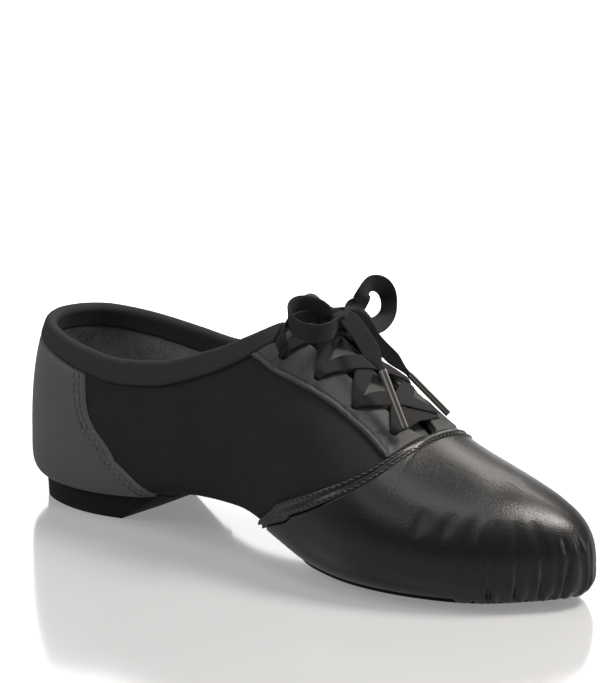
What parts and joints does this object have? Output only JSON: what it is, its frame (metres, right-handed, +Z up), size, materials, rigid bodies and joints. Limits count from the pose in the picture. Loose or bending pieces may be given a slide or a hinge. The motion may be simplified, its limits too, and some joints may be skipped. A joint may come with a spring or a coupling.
{
  "type": "jazz shoe",
  "caption": "Right jazz shoe: stretch upper, leather vamp, counter and lace stays, knit collar binding, tied flat laces, low rubber heel and thin forefoot sole.",
  "frame": {"origin": "centre of the heel's flat tread, on the floor", "axes": "+X from the heel to the toe, +Y to the shoe's inner side, +Z up"},
  "size_m": [0.2466, 0.0826, 0.1012],
  "materials": {
    "stretch_fabric": "matte stretch fabric",
    "grey_leather": "dull grey-black leather",
    "soft_leather": "soft semi-gloss leather",
    "seam_leather": "soft leather with two rows of stitches",
    "stay_leather": "soft wrinkled leather",
    "tongue_leather": "soft matte leather",
    "knit_binding": "knitted elastic",
    "lining": "brushed fabric",
    "heel_rubber": "matte rubber",
    "sole_rubber": "matte rubber",
    "lace_tape": "flat woven tape",
    "aglet_film": "clear film over the tape"
  },
  "bodies": {
    "root": {"upper_body": "stretch_fabric", "heel_counter": "grey_leather", "vamp": "soft_leather", "vamp_seam": "seam_leather", "lace_stay_right": "stay_leather", "lace_stay_left": "stay_leather", "collar_binding": "knit_binding", "tongue": "tongue_leather", "insole": "lining", "heel": "heel_rubber", "forefoot_sole": "sole_rubber", "lace_crossings": "lace_tape", "lace_knot": "lace_tape", "lace_loop_near": "lace_tape", "lace_loop_far": "lace_tape", "lace_end_near": "lace_tape", "lace_end_far": "lace_tape", "aglet_near": "aglet_film", "aglet_far": "aglet_film"}
  },
  "joints": []
}
